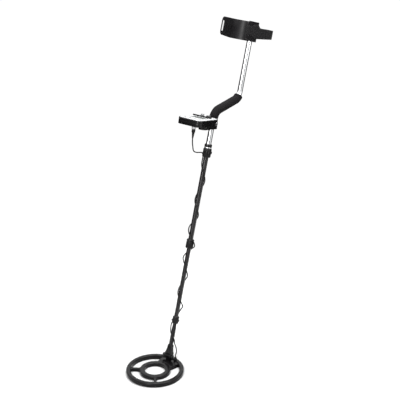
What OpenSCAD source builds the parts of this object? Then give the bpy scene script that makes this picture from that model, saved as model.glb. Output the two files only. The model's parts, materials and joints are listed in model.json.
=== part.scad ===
// Hand-held metal detector: S-shaped chrome rod with foam grip and arm cup,
// control box, telescoping stem wound with the search coil's cable, and an
// open ring search coil on a tilting yoke.
// Frame: origin at the middle of the foam grip, +Z up, -Y forward (away from
// the user), X across. Units are millimetres.

/* [Coil] */
// outer diameter of the search coil
coil_d = 215; // [180:1:280]
// height of the coil's outer ring
coil_h = 17; // [14:1:24]
// inner diameter of the outer ring
coil_ring_id = 182; // [150:1:220]
// outer diameter of the inner ring
hub_ring_od = 115; // [90:1:130]
// inner diameter of the inner ring
hub_ring_id = 77; // [60:1:100]
// width of a spoke
spoke_w = 12; // [8:1:20]
// tilt bolt, distance behind the coil's centre
pivot_y = 84; // [70:1:95]
// tilt bolt, height above the coil's sole
pivot_z = 30; // [26:1:40]

/* [Stem] */
// lean of the stem from vertical
lean = 18; // [0:1:40]
// diameter of the S-rod
rod_d = 20; // [18:0.5:25]
// diameter of the upper stem tube
stem_a_d = 18; // [16:0.5:22]
// diameter of the middle stem tube
stem_b_d = 16; // [14:0.5:20]
// diameter of the sliding part of the lower stem
stem_c_d = 14.2; // [12:0.1:18]
// diameter of the exposed part of the lower stem
stem_c_low_d = 16; // [14:0.5:18]
// bottom of the upper twist lock, along the stem from the tilt bolt
lock1_s = 764; // [700:1:800]
// bottom of the middle twist lock
lock2_s = 419; // [380:1:460]
// bottom of the lower twist lock
lock3_s = 128; // [110:1:150]

/* [Handle] */
// start of the first bend, along the stem
bend_s = 908; // [890:1:930]
// angle of each bend
bend_a = 67; // [40:1:80]
// centreline radius of each bend
bend_r = 38; // [30:1:60]
// straight length between the bends
grip_len = 105; // [80:1:140]
// diameter of the foam grip
foam_d = 33; // [26:0.5:38]
// top end of the rod, along the stem
rod_top_s = 1262; // [1220:1:1300]

/* [Arm cup] */
// inside width of the arm cup
cup_w = 108; // [90:1:130]
// depth of the arm cup from its floor to the wing tips
cup_depth = 100; // [70:1:115]
// length of the cup at its floor
cup_len = 72; // [60:1:90]
// wall of the arm cup
cup_wall = 3.4; // [2.4:0.1:5]
// bottom of the arm cup, along the stem
cup_s = 1206; // [1180:1:1230]
// width of the strap
strap_w = 30; // [20:1:38]

/* [Control box] */
// width of the control box
box_w = 102; // [80:1:120]
// depth of the control box
box_d = 123; // [90:1:130]
// height of the control box's shell
box_h = 24; // [18:1:30]
// corner radius of the control box
box_r = 18; // [6:1:20]
// height of the box's face along the stem
box_s = 916; // [900:1:940]
// gap from the rod's axis to the box's rear wall
box_gap = 34; // [30:1:60]
// tilt of the face against the stem
box_tilt = 6; // [0:1:20]
// wall of the control box
box_wall = 2.2; // [1.6:0.1:3]
// diameter of the power knob
knob_d = 13; // [10:0.5:18]
// diameter of the sensitivity knob
dial_d = 19; // [13:0.5:20]

/* [Cable] */
// diameter of the coil cable
cable_d = 4; // [3:0.5:5]

/* [Hidden] */
$fn = 64;
e = 0.01;
rod_r = rod_d/2;
rod_ir = stem_a_d/2 + 0.1;
a_r = stem_a_d/2;
a_ir = stem_b_d/2 + 0.1;
b_r = stem_b_d/2;
b_ir = stem_c_d/2 + 0.1;
c_r = stem_c_d/2;
cl_r = stem_c_low_d/2;
R = coil_d/2;
Ri = coil_ring_id/2;
hr = hub_ring_od/2;
hi = hub_ring_id/2;
// end of the second bend, in stem coordinates (u behind the stem, s along it)
off_u = 2*bend_r*(1 - cos(bend_a)) + grip_len*sin(bend_a);
off_s = bend_s + 2*bend_r*sin(bend_a) + grip_len*cos(bend_a);
// start and end of the straight grip
g0_u = bend_r*(1 - cos(bend_a));
g0_s = bend_s + bend_r*sin(bend_a);
grip_u = off_u/2;
grip_s = (bend_s + off_s)/2;
// grip's middle, from the coil's centre on its sole
gy = pivot_y + grip_u*cos(lean) + grip_s*sin(lean);
gz = pivot_z - grip_u*sin(lean) + grip_s*cos(lean);
spokes = [210, 309];
lug_w = 16;
arm_in = 9.8;
arm_out = 14.6;
yoke_r = 8;
// degrees of the upper bend that the foam covers
foam_a = 42;
spk_x = 31;
wing_bolts = [14, 36];
bolt_r = 4;
lock1_top = lock1_s + 49;
lock2_top = lock2_s + 34;
lock3_top = lock3_s + 27;
face_y0 = -box_gap - box_d;
face_y1 = -box_gap;
face_c = (face_y0 + face_y1)/2;
pod_w = 32;
cab_r = cable_d/2;
cup_floor = off_u - rod_r - 6;
knob_x = [-18, 10];
knob_r = [knob_d/2, dial_d/2];
knob_y = face_y1 - 13;
btn_x = [-33, -11, 11, 33];
btn_y = face_y0 + 24;
screw_x = box_w/2 - 9;
plug_x = 18;
plug_y = face_y0 + 14;
door_w = 48;
door_y = face_y0 + 14;
screw_at = [[screw_x, face_c - box_d/2 + 9], [screw_x, face_c + box_d/2 - 9], [-screw_x, face_c + box_d/2 - 9]];
pod_z = -45;

// ---------- frames ----------
module coil_frame() translate([0, -gy, -gz]) children();
module stem_frame() coil_frame() translate([0, pivot_y, pivot_z]) rotate([-lean, 0, 0]) children();
module box_frame() stem_frame() translate([0, 0, box_s]) rotate([box_tilt, 0, 0]) children();
module cup_frame() stem_frame() translate([0, off_u, cup_s]) children();

// ---------- small helpers ----------
module tube(s0, s1, ro, ri) translate([0, 0, s0]) difference() {
  cylinder(r = ro, h = s1 - s0);
  translate([0, 0, -1]) cylinder(r = ri, h = s1 - s0 + 2);
}
module rod(s0, s1, r) translate([0, 0, s0]) cylinder(r = r, h = s1 - s0);
module rr(w, d, r) {
  square([w - 2*r, d], center = true);
  square([w, d - 2*r], center = true);
  for (i = [-1, 1], j = [-1, 1]) translate([i*(w/2 - r), j*(d/2 - r)]) circle(r = r);
}
module slab(w, d, r, z0, z1) translate([0, 0, z0]) linear_extrude(height = z1 - z0) rr(w, d, r);
// solid round section of radius r along the rod's axis between two stem
// heights; the bends are a hair thinner, so each straight ends on a clean step
module arc(r) rotate_extrude(angle = bend_a) translate([bend_r, 0]) circle(r = r);
module s_path(r, low, high, d) {
  rod(low, bend_s + 0.02, r);
  translate([0, bend_r, bend_s]) rotate([90, 0, 90]) rotate([0, 0, 180 - bend_a]) arc(r - d);
  translate([0, g0_u, g0_s]) rotate([-bend_a, 0, 0]) rod(-0.02, grip_len + 0.02, r);
  translate([0, off_u - bend_r, off_s]) rotate([90, 0, 90]) rotate([0, 0, -bend_a]) arc(r - d);
  translate([0, off_u, 0]) rod(off_s - 0.02, high, r);
}

// ---------- rod, grip and cup ----------
module s_rod() color([0.82, 0.83, 0.85]) stem_frame() difference() {
  s_path(rod_r, lock1_s + 16, rod_top_s, 0.06);
  s_path(rod_ir, lock1_s + 15, rod_top_s + 1, 0.03);
  for (z = wing_bolts) translate([0, off_u, cup_s + z]) rotate([90, 0, 0]) cylinder(r = 2.6, h = 40, center = true);
}
module foam_grip() color([0.06, 0.06, 0.06]) stem_frame() difference() {
  union() {
    rod(bend_s - 1, bend_s + 0.02, foam_d/2);
    translate([0, bend_r, bend_s]) rotate([90, 0, 90]) rotate([0, 0, 180 - bend_a]) arc(foam_d/2 - 0.06);
    translate([0, g0_u, g0_s]) rotate([-bend_a, 0, 0]) rod(-0.02, grip_len + 0.02, foam_d/2);
    translate([0, off_u - bend_r, off_s]) rotate([90, 0, 90]) rotate([0, 0, -bend_a]) rotate_extrude(angle = foam_a) translate([bend_r, 0]) circle(r = foam_d/2 - 0.06);
  }
  s_path(rod_r, bend_s - 2, off_s + 7, 0.03);
}
module rod_cap() color([0.05, 0.05, 0.05]) stem_frame() translate([0, off_u, 0]) {
  rod(rod_top_s, rod_top_s + 3, rod_r + 0.6);
  rod(rod_top_s - 10, rod_top_s, rod_ir);
}
// U section of the cup across the stem: floor at v = 0, wings reach to -depth
module cup_section(t) {
  w = cup_w/2 + t;
  r = 40 + t;
  translate([0, -r + t]) {
    for (i = [-1, 1]) translate([i*(w - r), 0]) circle(r = r, $fn = 96);
    translate([-(w - r), 0]) square([2*(w - r), r]);
  }
  translate([-w, -cup_depth - 30]) square([2*w, cup_depth + 30 - r + t]);
}
module arm_cup() color([0.05, 0.05, 0.055]) cup_frame() translate([0, -rod_r - 6 - cup_wall, 0]) difference() {
  intersection() {
    linear_extrude(height = cup_len) difference() {
      cup_section(cup_wall);
      cup_section(0);
    }
    // side outline: full length at the floor, shorter at the wing tips
    translate([-100, 0, 0]) rotate([90, 0, 90]) linear_extrude(height = 200) union() {
      translate([-cup_depth + 10, 15]) circle(r = 10);
      translate([-cup_depth + 10, cup_len - 10]) circle(r = 10);
      translate([-cup_depth, 15]) square([30, cup_len - 25]);
      polygon([[-cup_depth + 10, 5], [-30, 0], [20, 0], [20, cup_len], [-cup_depth + 10, cup_len]]);
    }
  }
  // strap slots near both wing tips
  for (i = [-1, 1]) translate([i*cup_w/2, -cup_depth + 9, cup_len/2 + 2.5]) rotate([0, 90, 0]) linear_extrude(height = 20, center = true) rr(strap_w + 8, 12, 2.4);
  // bolt holes through the floor
  for (z = wing_bolts) translate([0, -10, z]) rotate([-90, 0, 0]) cylinder(r = 2.6, h = 20);
}
module cup_saddle() color([0.07, 0.07, 0.07]) cup_frame() difference() {
  translate([-11, -rod_r - 6, 6]) cube([22, 8.6, 44]);
  translate([0, 0, -5]) cylinder(r = rod_r, h = cup_len + 10);
  for (z = wing_bolts) translate([0, -30, z]) rotate([-90, 0, 0]) cylinder(r = 2.6, h = 40);
}
module cup_bolts() color([0.75, 0.76, 0.78]) cup_frame() for (z = wing_bolts) translate([0, 0, z]) rotate([-90, 0, 0]) {
  translate([0, 0, -rod_r - 6 - cup_wall - 2]) cylinder(r = 5, h = 2);
  translate([0, 0, -rod_r - 6 - cup_wall]) cylinder(r = 2.5, h = rod_r*2 + 6 + cup_wall + 7);
}
module cup_nuts() color([0.08, 0.08, 0.08]) cup_frame() for (z = wing_bolts) translate([0, 0, z]) rotate([-90, 0, 0]) difference() {
  translate([0, 0, rod_r]) cylinder(r = 5.5, h = 8);
  translate([0, 0, rod_r - 1]) cylinder(r = 2.5, h = 9);
}
// strap: folded double through the slot in the near wing, free end to the rear
module strap() color([0.06, 0.06, 0.065]) cup_frame() translate([cup_w/2, -rod_r - 6 - cup_wall, cup_len/2 + 2.5]) intersection() {
  translate([0, 0, -30]) linear_extrude(height = 60) difference() {
    polygon([[-1.6, -cup_depth - 1.8], [cup_wall + 1.6, -cup_depth - 1.8], [cup_wall + 3.5, -cup_depth + 2], [cup_wall + 3.5, -2], [cup_wall + 10.1, 62],
      [cup_wall + 6.9, 62], [cup_wall + 0.3, -2], [cup_wall + 0.3, -cup_depth + 10.4], [-1.6, -cup_depth + 10.4]]);
    translate([-0.1, -cup_depth - 0.2]) square([cup_wall + 0.2, 8.6]);
  }
  // side outline: wide behind the cup, narrower at the slot and at the free end
  translate([-20, 0, 0]) rotate([90, 0, 90]) linear_extrude(height = 60)
    polygon([[-110, -strap_w/2], [-84, -strap_w/2], [-45, -26], [-30, -27], [63, -18], [63, 15.5], [-30, 27], [-45, 26], [-84, strap_w/2], [-110, strap_w/2]]);
}

// ---------- control box ----------
module housing_top() color([0.05, 0.05, 0.055]) box_frame() {
  difference() {
    translate([0, face_c, 0]) slab(box_w, box_d, box_r, -10, 0);
    translate([0, face_c, 0]) slab(box_w - 2*box_wall, box_d - 2*box_wall, box_r - box_wall, -11, -2.4);
    // recess for the face panel
    translate([0, face_c, 0]) slab(box_w - 6, box_d - 6, box_r - 3, -0.8, 1);
    // display opening, knob shafts, buttons and speaker opening
    translate([0, face_c + 6, 0]) slab(62, 34, 2, -5, 1);
    for (x = knob_x) translate([x, knob_y, -5]) cylinder(r = 4, h = 10);
    for (x = btn_x) translate([x, btn_y, -5]) cylinder(r = 4.3, h = 10);
    translate([spk_x, knob_y - 1, -5]) cylinder(r = 7, h = 10);
  }
  // bosses for the housing screws
  for (p = screw_at) translate([p[0], p[1], 0]) difference() {
    translate([0, 0, -10]) cylinder(r = 3, h = 8);
    translate([0, 0, -11]) cylinder(r = 1.6, h = 8);
  }
}
module housing_base() color([0.05, 0.05, 0.055]) difference() {
  box_frame() union() {
    translate([0, face_c, 0]) slab(box_w, box_d, box_r, -box_h, -10);
    // pod carrying the rod clamp, and the neck behind the shell
    translate([0, -60, pod_z]) cylinder(r = pod_w/2, h = -pod_z - box_h + 0.1);
    translate([-pod_w/2, -60, pod_z]) cube([pod_w, 20, -pod_z - box_h + 0.1]);
    translate([-pod_w/2, -50, pod_z]) cube([pod_w, 52, 20]);
    translate([0, 2, pod_z]) cylinder(r = pod_w/2, h = 20);
  }
  box_frame() difference() {
    translate([0, face_c, 0]) slab(box_w - 2*box_wall, box_d - 2*box_wall, box_r - box_wall, -box_h + 3.4, -9);
  }
  stem_frame() rod(840, 930, rod_r);
  // battery door pocket, open at the left side
  box_frame() translate([-box_w/2 - 1, door_y, -box_h + 0.8]) cube([50.2, door_w + 0.4, 1.8]);
  box_frame() translate([-box_w/2 - 1, door_y + 1.7, -box_h - 1]) cube([50.2, door_w - 3, 3]);
  // opening for the cells above the door
  box_frame() translate([-box_w/2 + 5, door_y + 2, -box_h + 1]) cube([44, 44, 5]);
  // housing screws
  box_frame() for (p = screw_at) translate([p[0], p[1], -box_h]) {
    translate([0, 0, -1]) cylinder(r = 2.9, h = 2.65);
    translate([0, 0, -1]) cylinder(r = 1.6, h = 8);
  }
  // plug, headphone jack
  box_frame() translate([plug_x, plug_y, -box_h - 1]) cylinder(r = 6.2, h = 6);
  box_frame() translate([box_w/2 - 16.5, face_y1 - 16, -15.5]) rotate([0, 90, 0]) cylinder(r = 4.1, h = 18.5);
  // clamp bolt across the pod
  box_frame() translate([-30, -32, -34]) rotate([0, 90, 0]) cylinder(r = 2.6, h = 60);
}
module face_panel() color([0.86, 0.87, 0.88]) box_frame() difference() {
  translate([0, face_c, 0]) slab(box_w - 6.6, box_d - 6.6, box_r - 3.3, -0.8, 0.5);
  translate([0, face_c + 6, 0]) slab(58, 30, 2, -2, 1);
  for (x = knob_x) translate([x, knob_y, -2]) cylinder(r = 4, h = 4);
  for (x = btn_x) translate([x, btn_y, -2]) cylinder(r = 4.3, h = 4);
  for (i = [-2:2], j = [-2:2]) if (abs(i) + abs(j) < 4) translate([spk_x + i*2.4, knob_y - 1 + j*2.4, -2]) cylinder(r = 0.8, h = 4, $fn = 24);
}
module display_window() color([0.75, 0.78, 0.76]) box_frame() translate([0, face_c + 6, 0]) slab(57.6, 29.6, 1.8, -0.8, 0.4);
module display_module() color([0.55, 0.6, 0.55]) box_frame() translate([0, face_c + 6, 0]) slab(61, 33, 1, -5.6, -0.8);
module circuit_board() color([0.1, 0.35, 0.15]) box_frame() difference() {
  translate([0, face_c, 0]) slab(box_w - 2*box_wall - 1, box_d - 2*box_wall - 1, box_r - box_wall - 0.5, -7.2, -5.6);
  for (p = screw_at) translate([p[0], p[1], -8]) cylinder(r = 3.2, h = 4);
  translate([spk_x, knob_y - 1, -8]) cylinder(r = 8.4, h = 4);
}
module board_parts() color([0.12, 0.12, 0.13]) box_frame() {
  translate([4, face_c - 20, -9.2]) cube([16, 16, 2]);
  translate([16, face_c + 20, -8.8]) cube([9, 7, 1.6]);
  for (x = [-34, -26, 26, 34]) translate([x, face_c + 12, -12.2]) cylinder(r = 3, h = 5);
  for (x = btn_x) translate([x, btn_y, -5.6]) cylinder(r = 3, h = 1.4);
}
module pots() color([0.6, 0.6, 0.62]) box_frame() for (x = knob_x) translate([x, knob_y, 0]) {
  translate([0, 0, -5.6]) cylinder(r = 6, h = 3.2);
  translate([0, 0, -2.4]) cylinder(r = 3, h = x < 0 ? 9 : 7.6);
}
module knob(i) box_frame() translate([knob_x[i], knob_y, 0.9]) difference() {
  cylinder(r = knob_r[i], h = i == 0 ? 7.5 : 5.5);
  translate([0, 0, -1]) cylinder(r = 3.05, h = i == 0 ? 7 : 5.5);
}
module knob_power() color([0.35, 0.35, 0.36]) knob(0);
module knob_sens() color([0.08, 0.08, 0.08]) knob(1);
module button(i) box_frame() translate([btn_x[i], btn_y, 0]) {
  translate([0, 0, -2.9]) cylinder(r = 3.9, h = 4.8);
  translate([0, 0, -3.2]) cylinder(r = 4.9, h = 0.7);
}
module button_1() color([0.7, 0.71, 0.72]) button(0);
module button_2() color([0.7, 0.71, 0.72]) button(1);
module button_3() color([0.7, 0.71, 0.72]) button(2);
module button_4() color([0.7, 0.71, 0.72]) button(3);
module speaker() color([0.2, 0.2, 0.2]) box_frame() translate([spk_x, knob_y - 1, 0]) {
  translate([0, 0, -5.4]) cylinder(r = 7.8, h = 2.9);
  translate([0, 0, -8.6]) cylinder(r = 5, h = 3.2);
}
module batteries() color([0.2, 0.3, 0.5]) box_frame() for (i = [0:3]) translate([-box_w/2 + 5 + 5.5 + i*11, door_y + 2.2, -12.9]) rotate([-90, 0, 0]) {
  cylinder(r = 5.2, h = 42.6);
  translate([0, 0, 42.6]) cylinder(r = 1.9, h = 1);
}
module battery_door() color([0.06, 0.06, 0.06]) box_frame() {
  translate([-box_w/2, door_y + 0.2, -box_h + 1]) cube([48.8, door_w, 1.4]);
  translate([-box_w/2, door_y + 1.9, -box_h]) cube([48.8, door_w - 3.4, 1.1]);
}
module headphone_jack() color([0.1, 0.1, 0.1]) box_frame() translate([box_w/2, face_y1 - 16, -15.5]) rotate([0, 90, 0]) difference() {
  union() {
    translate([0, 0, -15]) cylinder(r = 2.9, h = 10);
    translate([0, 0, -6]) cylinder(r = 4, h = 7);
  }
  translate([0, 0, -14]) cylinder(r = 1.8, h = 20);
}
module jack_nut() color([0.8, 0.8, 0.82]) box_frame() translate([box_w/2, face_y1 - 16, -15.5]) rotate([0, 90, 0]) tube(0, 1.4, 5.2, 4);
module coil_socket() color([0.7, 0.7, 0.72]) box_frame() translate([plug_x, plug_y, 0]) difference() {
  union() {
    translate([0, 0, -box_h - 5]) cylinder(r = 6.1, h = 11.6);
    translate([0, 0, -box_h + 3.4]) cylinder(r = 8, h = 1.6);
  }
  translate([0, 0, -box_h - 6]) cylinder(r = 4.6, h = 9);
}
module housing_screws() color([0.6, 0.6, 0.62]) box_frame() for (p = screw_at) translate([p[0], p[1], 0]) {
  translate([0, 0, -box_h - 0.4]) cylinder(r = 2.8, h = 2);
  translate([0, 0, -box_h]) cylinder(r = 1.5, h = box_h - 3.5);
}
module clamp_bolt() color([0.08, 0.08, 0.08]) box_frame() translate([0, -32, -34]) rotate([0, 90, 0]) {
  translate([0, 0, -pod_w/2 - 2]) cylinder(r = 3.4, h = 2);
  translate([0, 0, -pod_w/2]) cylinder(r = 2.5, h = pod_w + 1.5);
  translate([0, 0, pod_w/2]) cylinder(r = 3.4, h = 2);
}
// dark rail across the face between the display and the knobs
module face_rail() color([0.05, 0.05, 0.05]) box_frame() translate([-5, face_y1 - 33, 0]) slab(82, 6, 2.9, 0.5, 3);
// ---------- coil connector ----------
module plug() color([0.08, 0.08, 0.08]) box_frame() translate([plug_x, plug_y, -box_h]) {
  translate([0, 0, -22]) cylinder(r = 6.6, h = 14);
  translate([0, 0, -8]) cylinder(r = 4.4, h = 8);
  translate([0, 0, -8.1]) cylinder(r = 4.5, h = 1);
}
module coupling_ring() color([0.85, 0.86, 0.88]) box_frame() translate([plug_x, plug_y, -box_h]) difference() {
  translate([0, 0, -9.5]) cylinder(r = 7.8, h = 9);
  translate([0, 0, -7.7]) cylinder(r = 6.15, h = 9);
  translate([0, 0, -11]) cylinder(r = 6.65, h = 3.35);
}
module strain_relief() color([0.06, 0.06, 0.06]) box_frame() translate([plug_x, plug_y, -box_h]) difference() {
  translate([0, 0, -42]) cylinder(r1 = 3, r2 = 5.2, h = 20);
  translate([0, 0, -43]) cylinder(r = cab_r + 0.1, h = 8);
}

// ---------- stem tubes ----------
module stem_a() color([0.08, 0.08, 0.085]) stem_frame() tube(lock2_s + 16, 884, a_r, a_ir);
module stem_b() color([0.08, 0.08, 0.085]) stem_frame() tube(lock3_s + 12, 560, b_r, b_ir);
module stem_c() color([0.07, 0.07, 0.07]) stem_frame() difference() {
  union() {
    rod(110, 300, c_r);
    rod(30, 110, cl_r);
    intersection() {
      // front outline: shoulders flaring into the two arms
      translate([0, 20, 0]) rotate([90, 0, 0]) linear_extrude(height = 40)
        polygon([[-arm_out, -10], [-arm_out, 13], [-11, 22], [-9, 32], [-8, 44], [8, 44], [9, 32], [11, 22], [arm_out, 13], [arm_out, -10]]);
      // side outline: rounded end round the bolt
      translate([-30, 0, 0]) rotate([90, 0, 90]) linear_extrude(height = 60) union() {
        circle(r = yoke_r);
        translate([-yoke_r, 0]) square([2*yoke_r, 50]);
      }
    }
  }
  // slot for the coil's lug
  translate([-arm_in, -20, -20]) cube([2*arm_in, 40, 29.4]);
  // bolt bore
  translate([-30, 0, 0]) rotate([0, 90, 0]) cylinder(r = bolt_r + 0.1, h = 60);
  // hollow upper part
  translate([0, 0, 120]) cylinder(r = c_r - 2, h = 200);
}
// twist lock: collar on the outer tube, collet ring, nut
module lock_body(s0, s1, h_nut, ro, ri, rc, rs) stem_frame() difference() {
  union() {
    rod(s0 + h_nut, s1, rc);
    rod(s0 + 10, s0 + h_nut + 1, rs);
  }
  rod(s0 + 8, s1 + 1, ro);
}
module lock_collet(s0, ri, rs) stem_frame() tube(s0 + 4, s0 + 9.8, rs, ri + 0.1);
module lock_nut(s0, h_nut, ri, rn, rs, lobes) stem_frame() difference() {
  union() {
    rod(s0, s0 + h_nut - 0.4, rn);
    // finger lobes
    for (a = lobes) rotate([0, 0, a]) translate([rs, -4, s0 + h_nut*0.42]) cube([rn + 2.6 - rs, 8, h_nut*0.3]);
  }
  rod(s0 - 1, s0 + 4, ri + 0.3);
  rod(s0 + 3, s0 + h_nut + 1, rs + 0.1);
}
module lock1_body() color([0.06, 0.06, 0.06]) lock_body(lock1_s, lock1_top, 38, rod_r, a_r, 13.8, 12.6);
module lock1_band() color([0.8, 0.81, 0.83]) stem_frame() tube(lock1_s + 33.4, lock1_s + 37.8, 13.5, 12.6);
module lock1_collet() color([0.3, 0.3, 0.3]) lock_collet(lock1_s, a_r, 12.6);
module lock1_nut() color([0.07, 0.07, 0.07]) lock_nut(lock1_s, 33, a_r, 15.6, 12.6, [33]);
module lock2_body() color([0.06, 0.06, 0.06]) lock_body(lock2_s, lock2_top, 26, a_r, b_r, 14, 11.6);
module lock2_collet() color([0.3, 0.3, 0.3]) lock_collet(lock2_s, b_r, 11.6);
module lock2_nut() color([0.07, 0.07, 0.07]) lock_nut(lock2_s, 26, b_r, 14, 11.6, []);
module lock3_body() color([0.06, 0.06, 0.06]) lock_body(lock3_s, lock3_top, 20, b_r, c_r, 12.4, 10.6);
module lock3_collet() color([0.3, 0.3, 0.3]) lock_collet(lock3_s, c_r, 10.6);
module lock3_nut() color([0.07, 0.07, 0.07]) lock_nut(lock3_s, 20, c_r, 12.4, 10.6, [33, 213]);

// ---------- search coil ----------
module ring_profile(r0, r1, z0, z1, c) polygon([[r0 + c, z0], [r1 - c, z0], [r1, z0 + c], [r1, z1 - c*1.6], [r1 - c*0.5, z1 - c*0.5], [r1 - c*1.6, z1], [r0 + c, z1], [r0, z1 - c], [r0, z0 + c]]);
module coil_shell() color([0.05, 0.05, 0.055]) coil_frame() difference() {
  union() {
    rotate_extrude($fn = 128) ring_profile(Ri, R, 4, coil_h, 3);
    rotate_extrude($fn = 96) ring_profile(hi, hr, 4, coil_h - 2, 2.4);
    for (a = spokes) rotate([0, 0, a]) translate([hr - 2, -spoke_w/2, 4]) cube([Ri - hr + 4, spoke_w, 9]);
    // plate and lug that carry the tilt bolt
    lug_plate(4, coil_h - 2.7);
    translate([-lug_w/2, pivot_y - yoke_r, coil_h - 4]) cube([lug_w, 2*yoke_r, pivot_z - coil_h + 4]);
    translate([-lug_w/2, pivot_y, pivot_z]) rotate([0, 90, 0]) cylinder(r = yoke_r, h = lug_w);
  }
  // winding channels, open below
  translate([0, 0, 3]) rotate_extrude($fn = 128) translate([Ri + 3, 0]) square([R - Ri - 6, coil_h - 3 - 2.6]);
  translate([0, 0, 3]) rotate_extrude($fn = 96) translate([hi + 3, 0]) square([hr - hi - 6, coil_h - 2 - 3 - 2.6]);
  translate([-30, pivot_y, pivot_z]) rotate([0, 90, 0]) cylinder(r = bolt_r, h = 60);
  // cable gland bore
  translate([gland_x, gland_y, 8]) cylinder(r = 4.6, h = 20);
}
gland_x = 23;
gland_y = 95;
module lug_plate(z0, z1) translate([0, 0, z0]) linear_extrude(height = z1 - z0) polygon([[-31, 87.5], [-27, 50], [-14, 54.3], [0, 56], [14, 54.3], [27, 49.3], [40, 39.6], [49, 78.5], [20, 90.4], [-10, 92]]);
module coil_cover() color([0.07, 0.07, 0.075]) coil_frame() {
  rotate_extrude($fn = 128) ring_profile(Ri, R - 0.6, 0, 4, 1.2);
  rotate_extrude($fn = 96) ring_profile(hi, hr, 0.8, 4, 1);
  for (a = spokes) rotate([0, 0, a]) translate([hr - 5, -spoke_w/2, 0.8]) cube([Ri - hr + 10, spoke_w, 3.2]);
  lug_plate(0.8, 4);
}
module winding_outer() color([0.72, 0.42, 0.2]) coil_frame() rotate_extrude($fn = 96) translate([(Ri + R)/2, 9]) circle(r = 3.8, $fn = 24);
module winding_inner() color([0.72, 0.42, 0.2]) coil_frame() rotate_extrude($fn = 96) translate([(hi + hr)/2, 9]) circle(r = 2.8, $fn = 24);
module tilt_bolt() color([0.1, 0.1, 0.1]) coil_frame() translate([0, pivot_y, pivot_z]) rotate([0, 90, 0]) {
  translate([0, 0, -arm_out - 12]) cylinder(r = bolt_r, h = 2*arm_out + 13);
  translate([0, 0, arm_out + 0.2]) cylinder(r = 7.5, h = 4);
}
module wing_nut() color([0.08, 0.08, 0.08]) coil_frame() translate([0, pivot_y, pivot_z]) rotate([0, 90, 0]) difference() {
  union() {
    translate([0, 0, -arm_out - 10]) cylinder(r = 7, h = 9.7);
    for (i = [-1, 1]) rotate([0, 0, 90]) translate([i*8 - 4.5, -1.6, -arm_out - 10]) cube([9, 3.2, 8]);
  }
  translate([0, 0, -arm_out - 11]) cylinder(r = bolt_r + 0.05, h = 12);
}
module washers() color([0.12, 0.12, 0.12]) coil_frame() translate([0, pivot_y, pivot_z]) rotate([0, 90, 0]) for (z = [-arm_in + 0.15, lug_w/2]) tube(z, z + arm_in - lug_w/2 - 0.15, 8, bolt_r);
module cable_gland() color([0.06, 0.06, 0.06]) coil_frame() translate([gland_x, gland_y, 0]) difference() {
  union() {
    translate([0, 0, 13.2]) cylinder(r = 4.5, h = coil_h - 13.2);
    translate([0, 0, coil_h]) cylinder(r = 6, h = 4);
    translate([0, 0, coil_h + 4]) cylinder(r1 = 4.6, r2 = 3.2, h = 7);
  }
  translate([0, 0, coil_h + 4]) cylinder(r = cab_r + 0.1, h = 12);
}

// ---------- cable ----------
// closed tube of n sides along the points p
function unit(v) = v/norm(v);
function tan_at(p, i) = let (n = len(p)) unit(p[min(i + 1, n - 1)] - p[max(i - 1, 0)]);
function carry(r, t) = unit(r - (r*t)*t);
function frames(p, i, r) = i >= len(p) ? [] : let (t = tan_at(p, i), q = carry(r, t)) concat([[q, cross(t, q)]], frames(p, i + 1, q));
module sweep(p, r, n) {
  f = frames(p, 0, [0.3, 0.9, 0.31]);
  m = len(p);
  pts = [for (i = [0:m - 1], k = [0:n - 1]) p[i] + r*cos(360*k/n)*f[i][0] + r*sin(360*k/n)*f[i][1]];
  side = [for (i = [0:m - 2], k = [0:n - 1]) [i*n + k, i*n + (k + 1)%n, (i + 1)*n + (k + 1)%n, (i + 1)*n + k]];
  polyhedron(points = pts, faces = concat([[for (k = [n - 1:-1:0]) k]], side, [[for (k = [0:n - 1]) (m - 1)*n + k]]), convexity = 10);
}
// smooth curve through hand-set points, k steps a span
function cr(a, b, c, d, t) = 0.5*((2*b) + (c - a)*t + (2*a - 5*b + 4*c - d)*t*t + (3*b - a - 3*c + d)*t*t*t);
function curve(q, k) = [for (i = [0:len(q) - 2], j = [0:k - 1]) cr(q[max(i - 1, 0)], q[i], q[i + 1], q[min(i + 2, len(q) - 1)], j/k)];
// helix round the stem: angle a0..a1, height s0..s1, radius r0..r1
function helix(a0, a1, s0, s1, r0, r1, k) = [for (i = [0:k - 1]) let (t = i/k, a = a0 + (a1 - a0)*t, r = r0 + (r1 - r0)*t) [r*cos(a), r*sin(a), s0 + (s1 - s0)*t]];
ra = a_r + cab_r + 0.4;
rb = b_r + cab_r + 0.4;
// free run from the plug to the upper lock, in stem coordinates
lead_pts = [[18, -136, 842], [18, -135.3, 835.4], [18, -131.5, 820], [18, -125, 806], [17, -117.5, 794], [14, -105, 786], [9, -82, 782], [0, -50, 780.5], [-10, -20, 779], [-17.6, -4, 776], [-18, 3, 770], [-17, 4, 762], [-14, 0, 754], [-10, -6.5, 742]];
upper_pts = concat(curve(lead_pts, 3), helix(216, 396, 742, 674, 12, ra, 11), helix(396, 576, 674, 603, ra, ra, 11), helix(576, 756, 603, 544, ra, ra, 11), helix(756, 936, 544, 492, ra, 14.6, 11), helix(936, 1116, 492, 430, 14.6, 19, 12), helix(1116, 1134, 430, 424.4, 19, 18.8, 2));
mid_pts = concat(helix(1137, 1206, 423.4, 404, 18.6, 12.5, 5), helix(1206, 1296, 404, 380, 12.5, 15.2, 6), helix(1296, 1360, 380, 355, 15.2, rb, 4), helix(1360, 1476, 355, 313, rb, 13.5, 8), helix(1476, 1656, 313, 250, 13.5, rb, 11), helix(1656, 1780, 250, 214, rb, 12, 8), helix(1780, 1836, 214, 196.5, 12, 17.5, 5), helix(1836, 1880, 196.5, 178, 17.5, 14.5, 4), helix(1880, 1912, 178, 159, 14.5, 17.4, 3));
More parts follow.
